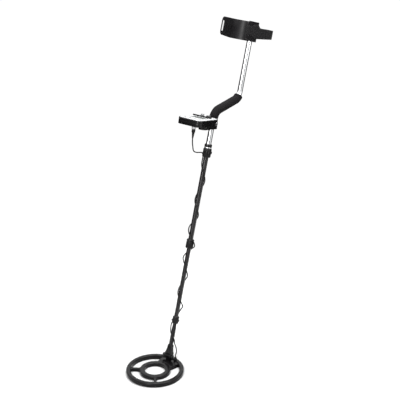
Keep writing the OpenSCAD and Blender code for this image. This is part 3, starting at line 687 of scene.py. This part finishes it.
knob("knob_power", KNOB_X[0], "grey", 6.5, 7.3, 24)
knob("knob_sens", KNOB_X[1], "black", 9.5, 5.3, 36)
for i, x in enumerate(BTN_X):
    body = "button_%d" % (i + 1)
    v, f = lathe([(0.02, -3.2), (4.7, -3.2), (4.9, -3.0), (4.9, -2.6), (4.7, -2.5), (3.9, -2.45), (3.9, 1.2), (3.6, 1.65), (2.6, 1.85), (0.02, 1.9)], 48, caps=True)
    v = [(p[0] + x, p[1] + BTN_Y, p[2]) for p in v]
    o = obj("V_" + body, v, f, M_BOX, "grey", body=body, smooth=35)
    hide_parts(body)

# printed marks on the face: tick rings round the knobs, bars over the buttons
marks = []
for x, r0 in zip(KNOB_X, (7.4, 10.4)):
    for k in range(11):
        a = math.radians(-60 + 30 * k)
        m = Matrix.Translation((x, KNOB_Y, 0)) @ Matrix.Rotation(a, 4, "Z")
        marks.append(moved(boxv(r0, -0.22, 0.46, r0 + 1.3, 0.22, 0.53), m))
for x in BTN_X:
    marks.append(boxv(x - 4.5, BTN_Y + 6.4, 0.46, x + 4.5, BTN_Y + 7.1, 0.53))
marks.append(loft(62.0, 34.0, 2.6, [(0.46, 0), (0.54, 0), (0.54, 1.6), (0.46, 1.6)], 6, 0, FC + 6, close=True))
obj("V_face_print", *merge(*marks), M_BOX, "print", smooth=30)
# display segments under the glass's surface
seg = []
for i in range(3):
    x0 = -12 + i * 11
    for (xa, ya, xb, yb) in ((0, 0, 6, 1.1), (0, 7, 6, 8.1), (0, 14, 6, 15.1), (-0.6, 0.8, 0.5, 7.2), (5.5, 7.8, 6.6, 14.4), (5.5, 0.8, 6.6, 7.2)):
        seg.append(boxv(x0 + xa, FC - 3 + ya, 0.38, x0 + xb, FC - 3 + yb, 0.43))
for i in range(10):
    seg.append(boxv(-25.5 + i * 5.2, FC + 15.2, 0.38, -21.6 + i * 5.2, FC + 17.4, 0.43))
obj("V_display_segments", *merge(*seg), M_BOX, "print", smooth=30)

# ------------------------------------------------------------------ connector
from_cad("plug", "black", 0.4, 3)


def ribbed(name, rings, ribs, groove, mat, body, matrix, zr=None, replaces=None, per=4, cap=True, smooth=30):
    """Turned piece of (radius, z) rings with shallow grooves cut along part of its height."""
    sides = ribs * per
    verts, faces = [], []
    for r, z in rings:
        for k in range(sides):
            a = 2 * math.pi * k / sides
            g = groove if (k % per == 0 and zr and zr[0] <= z <= zr[1]) else 0.0
            verts.append(((r - g) * math.cos(a), (r - g) * math.sin(a), z))
    m = len(rings)
    for i in range(m if not cap else m - 1):
        for k in range(sides):
            a, b = i * sides + k, i * sides + (k + 1) % sides
            c, d = ((i + 1) % m) * sides + (k + 1) % sides, ((i + 1) % m) * sides + k
            faces.append((a, b, c, d))
    if cap:
        faces.append(tuple(range(sides))[::-1])
        faces.append(tuple((m - 1) * sides + k for k in range(sides)))
    o = obj(name, verts, faces, matrix, mat, body=body, smooth=smooth)
    if replaces:
        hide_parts(replaces)
    return o


M_PLUG = M_BOX @ Matrix.Translation((PLUG_X, PLUG_Y, -BOX_H))
ribbed("V_coupling_ring", [(6.7, -9.4), (7.3, -9.4), (7.75, -9.0), (7.75, -1.0), (7.3, -0.55), (6.2, -0.55), (6.2, -7.6), (6.7, -7.7)], 30, 0.3, "ring", "coupling_ring", M_PLUG, (-9.1, -0.9), "coupling_ring", cap=False)
rings = []
for i in range(9):
    z = -22 - i * 2.2
    r = 5.2 - (5.2 - 3.0) * i / 8.6
    rings += [(r, z), (r, z - 1.3), (r - 0.55, z - 1.5), (r - 0.55, z - 2.0)]
rings = [(x, y) for x, y in rings if y > -41.4] + [(2.9, -41.6), (2.1, -41.9)]
ribbed("V_strain_relief", rings, 12, 0, "cable", "frame", M_PLUG, None, "strain_relief", 4, True, 40)


# ------------------------------------------------------------------ stem tubes and locks
def tube_piece(name, s0, s1, r, ri, mat, body):
    e = 0.5
    v, f = lathe([(ri, s0), (r - e, s0), (r, s0 + e), (r, s1 - e), (r - e, s1), (ri, s1)], 72)
    o = obj("V_" + name, v, f, M_STEM, mat, body=body, smooth=40)
    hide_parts(name)
    return o


tube_piece("stem_a", 435, 884, 9.0, 8.1, "stem", "frame")
tube_piece("stem_b", 140, 560, 8.0, 7.2, "stem", "middle_stem")
from_cad("stem_c", "case", 1.2, 3)


def lock_nut(name, s0, h, rin, rn, rs, body, ribs=20, lobes=()):
    top = s0 + h - 0.4
    m = ri_in = rin + 0.3
    rings = [(rs + 0.1, top), (rn - 2.2, top), (rn - 0.8, top - 0.6), (rn - 0.4, top - 1.8), (rn, top - 3.2), (rn, s0 + 3.4), (rn - 0.5, s0 + 1.6), (rn - 1.5, s0 + 0.4), (rn - 2.6, s0), (ri_in, s0), (ri_in, s0 + 4), (rs + 0.1, s0 + 4)]
    rings = [rings[0], rings[1], rings[2], rings[3], rings[4], (rn, s0 + h * 0.55), rings[5], rings[6], rings[7], rings[8], rings[9], rings[10], rings[11]]
    for k, a in enumerate(lobes):
        m = Matrix.Rotation(math.radians(a), 4, "Z")
        part = moved(boxv(rs + 0.5, -3.9, s0 + h * 0.43, rn + 2.5, 3.9, s0 + h * 0.71), m)
        obj("V_%s_lobe_%d" % (name, k + 1), *part, M_STEM, "lock", body=body, smooth=40, bevel=1.2, seg=3)
    return ribbed("V_" + name, rings, ribs, 0.9, "lock", body, M_STEM, (s0 + 3.3, top - 3.1), name, 4, False, 32)


def lock_body(name, s0, s1, h, ro, rc, rs, body, ribs=12):
    b = s0 + h
    rings = [(ro, s0 + 10), (rs - 0.4, s0 + 10), (rs, s0 + 10.6), (rs, b), (rc - 0.8, b), (rc, b + 0.9), (rc, s1 - 2.4), (rc - 0.6, s1 - 0.9), (rc - 1.8, s1), (ro, s1)]
    return ribbed("V_" + name, rings, ribs, 0.0, "lock", body, M_STEM, None, name, 6, False, 35)


lock_nut("lock1_nut", 764, 33, 9.0, 15.6, 12.6, "upper_lock_nut", 20, (33,))
lock_body("lock1_body", 764, 813, 38, 10.0, 13.8, 12.6, "frame")
from_cad("lock1_band", "ring", 0.5, 3)
from_cad("lock1_collet", "rubber", 0.3)
lock_nut("lock2_nut", 419, 26, 8.0, 14.0, 11.6, "middle_lock_nut", 18)
lock_body("lock2_body", 419, 453, 26, 9.0, 14.0, 11.6, "frame")
from_cad("lock2_collet", "rubber", 0.3)
lock_nut("lock3_nut", 128, 20, 7.1, 12.4, 10.6, "lower_lock_nut", 18, (33, 213))
lock_body("lock3_body", 128, 155, 20, 8.0, 12.4, 10.6, "middle_stem")
from_cad("lock3_collet", "rubber", 0.3)

# ------------------------------------------------------------------ search coil
R, RI, HR, HI, CH = 107.5, 91.0, 57.5, 38.5, 17.0


def rim(r0, r1, z0, z1, c, groove_z=None, n=6):
    """Closed ring profile with rounded corners and an optional groove round the outside."""
    p = []
    p += [(r0 + 1.0, z0), (r1 - 1.0, z0), (r1 - 0.2, z0 + 0.5), (r1, z0 + 1.4)]
    if groove_z is not None:
        p += [(r1, groove_z - 0.5), (r1 - 0.9, groove_z - 0.25), (r1 - 0.9, groove_z + 0.25), (r1, groove_z + 0.5)]
    p += arc_pts(r1 - c, z1 - c, c, 0, 90, n)
    p += arc_pts(r0 + c * 0.7, z1 - c * 0.7, c * 0.7, 90, 180, n)
    p += [(r0, z0 + 1.4), (r0 + 0.2, z0 + 0.5)]
    return p


shell = lathe(rim(RI, R, 4.0, CH, 5.0), 160)
hub = lathe(rim(HI, HR, 4.0, CH - 2, 3.6), 128)
o = obj("V_coil_shell", *shell, M_COIL, "coil", body="coil", smooth=35)
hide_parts("coil_shell")
obj("V_coil_hub", *hub, M_COIL, "coil", body="coil", smooth=35)
# spokes with flared roots
SPOKES = (210, 309)


def spoke(angle, z0, z1):
    half = []
    n = 12
    r0, r1 = HR - 3.0, RI + 3.0
    for i in range(n + 1):
        t = i / n
        r = r0 + (r1 - r0) * t
        e = min(r - r0, r1 - r)
        w = 5.2 + 5.5 * max(0.0, 1 - e / 12.0) ** 2
        half.append((r, w))
    pts = [(r, -w) for r, w in half] + [(r, w) for r, w in reversed(half)]
    part = prism(pts, z0, z1)
    return moved(part, Matrix.Rotation(math.radians(angle), 4, "Z"))


for i, a in enumerate(SPOKES):
    v, f = spoke(a, 3.9, 13.0)
    obj("V_spoke_%d" % (i + 1), v, f, M_COIL, "coil", body="coil", smooth=35, bevel=1.6, seg=3)
# plate and lug for the bolt
PLATE = [(-31, 87.5), (-27, 50), (-14, 54.3), (0, 56), (14, 54.3), (27, 49.3), (40, 39.6), (49, 78.5), (20, 90.4), (-10, 92)]
obj("V_lug_plate", *prism(PLATE, 3.9, 14.3), M_COIL, "coil", body="coil", smooth=35, bevel=1.6, seg=3)
lug = [(y, z) for y, z in arc_pts(PY, PZ, 8.0, -20, 200, 24)] + [(PY - 10, 13.0), (PY + 10, 13.0)]
lugv = [(-8.0, y, z) for y, z in lug] + [(8.0, y, z) for y, z in lug]
n = len(lug)
lugf = [tuple(range(n)), tuple(range(n, 2 * n))[::-1]] + [(i, (i + 1) % n, n + (i + 1) % n, n + i) for i in range(n)]
obj("V_lug", lugv, lugf, M_COIL, "coil", body="coil", smooth=35, bevel=0.8, seg=3)
obj("V_lug_plate_cover", *prism(PLATE, 0.9, 3.9), M_COIL, "coil", body="coil", smooth=35, bevel=0.5, seg=2)
cover = lathe([(RI + 1.2, 0), (R - 2.6, 0), (R - 1.4, 0.4), (R - 0.7, 1.4), (R - 0.6, 3.3), (R - 1.4, 3.5), (R - 1.4, 4.0), (RI, 4.0), (RI, 1.2)], 160)
o = obj("V_coil_cover", *cover, M_COIL, "coil", body="coil", smooth=35)
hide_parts("coil_cover")
hubc = lathe([(HI + 1.0, 0.8), (HR - 1.0, 0.8), (HR, 1.8), (HR, 4.0), (HI, 4.0), (HI, 1.8)], 128)
obj("V_hub_cover", *hubc, M_COIL, "coil", body="coil", smooth=35)
for i, a in enumerate(SPOKES):
    v, f = spoke(a, 0.8, 3.9)
    obj("V_spoke_cover_%d" % (i + 1), v, f, M_COIL, "coil", body="coil", smooth=35, bevel=0.5, seg=2)
from_cad("winding_outer", "copper", 0)
from_cad("winding_inner", "copper", 0)
from_cad("washers", "rubber", 0.3)
from_cad("cable_gland", "black", 0.5, 3)
from_cad("tilt_bolt", "black", 0.8, 3)
from_cad("wing_nut", "black", 0.9, 3)

# ------------------------------------------------------------------ cable
CR = 2.15
RA, RB = 9.0 + CR + 0.4, 8.0 + CR + 0.4


def helix(a0, a1, s0, s1, r0, r1, k):
    out = []
    for i in range(k):
        t = i / k
        a = math.radians(a0 + (a1 - a0) * t)
        r = r0 + (r1 - r0) * t
        out.append((r * math.cos(a), r * math.sin(a), s0 + (s1 - s0) * t))
    return out


LEAD = [(18, -136, 842), (18, -135.3, 835.4), (18, -131.5, 820), (18, -125, 806), (17, -117.5, 794), (14, -105, 786), (9, -82, 782), (0, -50, 780.5), (-10, -20, 779), (-17.6, -4, 776), (-18, 3, 770), (-17, 4, 762), (-14, 0, 754), (-10, -6.5, 742)]
upper = smooth_line(LEAD, 8)[:-1] + helix(216, 396, 742, 674, 12, RA, 30) + helix(396, 576, 674, 603, RA, RA, 30) + helix(576, 756, 603, 544, RA, RA, 30) + helix(756, 936, 544, 492, RA, 14.6, 30) + helix(936, 1116, 492, 430, 14.6, 19, 30) + helix(1116, 1134, 430, 424, 19, 18.8, 4)
middle = helix(1134, 1206, 424, 404, 18.8, 12.5, 14) + helix(1206, 1296, 404, 380, 12.5, 15.2, 16) + helix(1296, 1360, 380, 355, 15.2, RB, 14) + helix(1360, 1476, 355, 313, RB, 13.5, 24) + helix(1476, 1656, 313, 250, 13.5, RB, 30) + helix(1656, 1780, 250, 214, RB, 12, 22) + helix(1780, 1836, 214, 196.5, 12, 17.5, 14) + helix(1836, 1880, 196.5, 178, 17.5, 14.5, 12) + helix(1880, 1912, 178, 158, 14.5, 17.5, 10)
middle.append((17.5 * math.cos(math.radians(1912)), 17.5 * math.sin(math.radians(1912)), 158))
MID = math.radians(2106)
lower_a = helix(1912, 1970, 158, 124, 17.5, 16.5, 14) + helix(1970, 2016, 124, 100, 16.5, 10.8, 12) + helix(2016, 2106, 100, 78.5, 10.8, 10.7, 16) + [(10.7 * math.cos(MID), 10.7 * math.sin(MID), 78.5)]
end_a = lower_a[-1]
lower_b = [end_a] + helix(2106, 2196, 78.5, 57, 10.7, 10.6, 16)[1:] + smooth_line([(8.6, 6.2, 57), (11, 7.8, 49), (15, 9.8, 42), (20, 12, 31), (22.8, 12.4, 19), (23, 9.6, 8.6), (23, 10.7, 2.6), (23, 12.7, -3.6)], 8)


def resample(line, step=2.5):
    pts = [Vector(p) for p in line]
    out = [pts[0]]
    for _ in range(3):
        pts = [pts[0]] + [(pts[i - 1] + pts[i] * 2 + pts[i + 1]) / 4 for i in range(1, len(pts) - 1)] + [pts[-1]]
    acc = 0.0
    for i in range(1, len(pts)):
        a, b = pts[i - 1], pts[i]
        d = (b - a).length
        while acc + d >= step:
            a = a + (b - a) * ((step - acc) / d)
            out.append(a.copy())
            d = (b - a).length
            acc = 0.0
        acc += d
    out.append(pts[-1])
    return out


def cable(name, line, replaces=None):
    pts = resample(line)
    v, f = sweep(pts, CR, 16)
    o = obj(name, v, f, M_STEM, "cable", body=None, smooth=60)
    return o, [tuple(M_STEM @ p) for p in pts]


c1, _ = cable("V_cable_upper", upper)
place(c1, "frame")
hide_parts("cable_upper")
c2, _ = cable("V_cable_middle", middle)
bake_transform(c2)
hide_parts("cable_middle")
c3, _ = cable("V_cable_lower", lower_a)
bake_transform(c3)
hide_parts("cable_lower")
c4, _ = cable("V_cable_foot", lower_b)
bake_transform(c4)

# ------------------------------------------------------------------ room, light, camera
def stage_plane():
    az = math.radians(36.3)
    toward, across = Vector((math.sin(az), -math.cos(az), 0)), Vector((math.cos(az), math.sin(az), 0))
    mid = Vector((0, 0.2823 - GY / 1000, FLOOR_Z))
    corners = [mid + toward * a + across * b for a, b in ((1.6, -1.5), (1.6, 1.5), (-0.85, 1.5), (-0.85, -1.5))]
    me = bpy.data.meshes.new("Floor")
    me.from_pydata([tuple(c) for c in corners], [], [(0, 1, 2, 3)])
    o = bpy.data.objects.new("Floor", me)
    bpy.context.scene.collection.objects.link(o)
    m, t, b, c = node_tree("FloorPaper")
    t.links.new(mix(t, noise(t, c, 3.0), (0.93, 0.93, 0.93), (0.95, 0.95, 0.95)), b.inputs["Base Color"])
    b.inputs["Roughness"].default_value = 0.9
    me.materials.append(m)
    return o


stage_plane()
world = bpy.data.worlds.new("Studio")
bpy.context.scene.world = world
world.use_nodes = True
wt = world.node_tree
wb = wt.nodes.get("Background")
wb.inputs[0].default_value = (1, 1, 1, 1)
AZ = math.radians(36.3)


def world_node(kind, **values):
    n = wt.nodes.new(kind)
    for key, value in values.items():
        setattr(n, key, value)
    return n


def world_math(op, a, b):
    n = world_node("ShaderNodeMath", operation=op)
    for k, x in enumerate((a, b)):
        if isinstance(x, (int, float)):
            n.inputs[k].default_value = x
        else:
            wt.links.new(x, n.inputs[k])
    return n.outputs[0]


# a white room with a dark wall behind the object and a narrow dark gap in front of it
coords = world_node("ShaderNodeTexCoord")
flat = world_node("ShaderNodeVectorMath", operation="MULTIPLY")
flat.inputs[1].default_value = (1, 1, 0)
wt.links.new(coords.outputs["Generated"], flat.inputs[0])
level = world_node("ShaderNodeVectorMath", operation="NORMALIZE")
wt.links.new(flat.outputs[0], level.inputs[0])
facing = world_node("ShaderNodeVectorMath", operation="DOT_PRODUCT")
facing.inputs[1].default_value = (math.sin(AZ + 0.22), -math.cos(AZ + 0.22), 0)
wt.links.new(level.outputs[0], facing.inputs[0])
ramp = world_node("ShaderNodeValToRGB")
wt.links.new(world_math("ADD", world_math("MULTIPLY", facing.outputs["Value"], 0.5), 0.5), ramp.inputs[0])
for stop, tone in ((0.58, 0.03), (0.65, 0.9), (0.955, 0.9), (0.985, 0.45)):
    el = ramp.color_ramp.elements.new(stop)
    el.color = (tone, tone, tone, 1)
ramp.color_ramp.elements[0].color = (0.03, 0.03, 0.03, 1)
ramp.color_ramp.elements[-1].color = (0.45, 0.45, 0.45, 1)
parts = world_node("ShaderNodeSeparateXYZ")
wt.links.new(coords.outputs["Generated"], parts.inputs[0])
high = world_node("ShaderNodeMapRange")
wt.links.new(parts.outputs["Z"], high.inputs["Value"])
for key, value in (("From Min", 0.16), ("From Max", 0.34), ("To Min", 0.0), ("To Max", 1.8)):
    high.inputs[key].default_value = value
rays = world_node("ShaderNodeLightPath")
glossy = world_math("MULTIPLY", world_math("MAXIMUM", ramp.outputs[0], high.outputs[0]), rays.outputs["Is Glossy Ray"])
other = world_math("SUBTRACT", 1.0, rays.outputs["Is Glossy Ray"])
soft = world_math("MULTIPLY", other, 0.2)
seen = world_math("MULTIPLY", rays.outputs["Is Camera Ray"], 0.83)
total_light = world_math("ADD", world_math("ADD", glossy, soft), seen)
wt.links.new(total_light, wb.inputs[1])


def area(name, loc, target, size, power):
    l = bpy.data.lights.new(name, "AREA")
    l.shape = "RECTANGLE"
    l.size, l.size_y = size
    l.energy = power
    o = bpy.data.objects.new(name, l)
    bpy.context.scene.collection.objects.link(o)
    o.location = loc
    d = Vector(target) - Vector(loc)
    o.rotation_euler = d.to_track_quat("-Z", "Y").to_euler()
    return o


area("Key", (0.5, -3.3, 1.6), (0, -0.1, -0.3), (0.9, 2.4), 78)
area("Fill", (3.4, 0.2, 1.2), (0, -0.1, -0.3), (1.2, 2.4), 32)
area("Top", (0.0, 0.5, 2.6), (0, -0.2, -0.6), (2.0, 1.2), 118)

cam_d = bpy.data.cameras.new("Camera")
cam = bpy.data.objects.new("Camera", cam_d)
bpy.context.scene.collection.objects.link(cam)
AZ, EL, DIST, FOCAL = math.radians(36.3), math.radians(23.0), 4.0887, 1106.1
look = Vector((0, 0.2823 - GY / 1000, 0.5987 - GZ / 1000))
back = Vector((math.sin(AZ) * math.cos(EL), -math.cos(AZ) * math.cos(EL), math.sin(EL)))
cam.location = look + back * DIST
cam.rotation_euler = (-back).to_track_quat("-Z", "Y").to_euler()
cam_d.sensor_width = 36
cam_d.lens = FOCAL / 400 * 36
bpy.context.scene.camera = cam
bpy.context.scene.view_settings.view_transform = "Standard"
